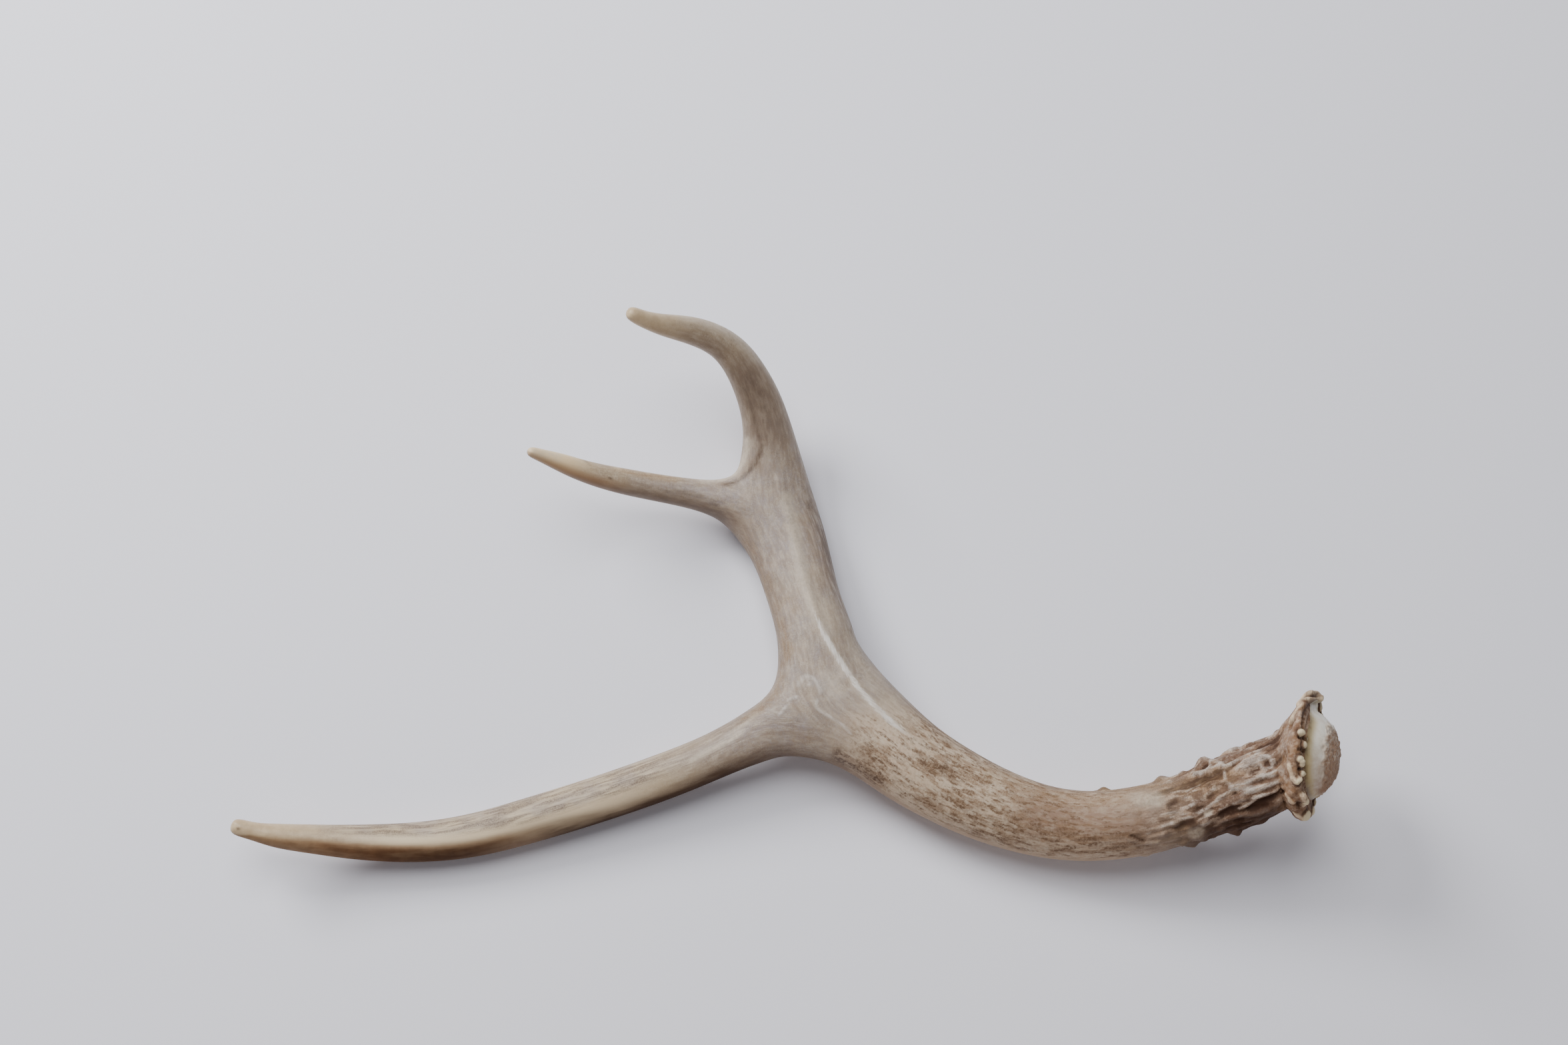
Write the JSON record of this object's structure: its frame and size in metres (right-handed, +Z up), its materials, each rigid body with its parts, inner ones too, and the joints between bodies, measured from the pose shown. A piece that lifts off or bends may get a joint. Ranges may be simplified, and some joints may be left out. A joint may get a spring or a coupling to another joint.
{
  "type": "shed deer antler",
  "caption": "Shed deer antler lying on its back: knobbly burr and lower beam, a main fork with a long low tine, and an upper fork with a slim tine and a hooked tip.",
  "frame": {"origin": "on the surface the antler rests on, under the middle of its bounding box", "axes": "+X from the long tine's tip to the burr, +Y the way the upper beam grows, +Z up from the surface it lies on"},
  "size_m": [0.3685, 0.1798, 0.0692],
  "materials": {
    "rough_antler": "rough antler bone, brown in its furrows and pale on its ridges",
    "grey_antler": "smooth grey-brown antler bone with long fine streaks and a worn pale crest",
    "polished_antler": "antler bone rubbed to a soft ivory shine, streaked grey and brown"
  },
  "bodies": {
    "root": {"lower_beam": "rough_antler", "long_tine": "polished_antler", "upper_beam": "grey_antler", "front_tine": "polished_antler", "top_tine": "polished_antler"}
  },
  "joints": []
}
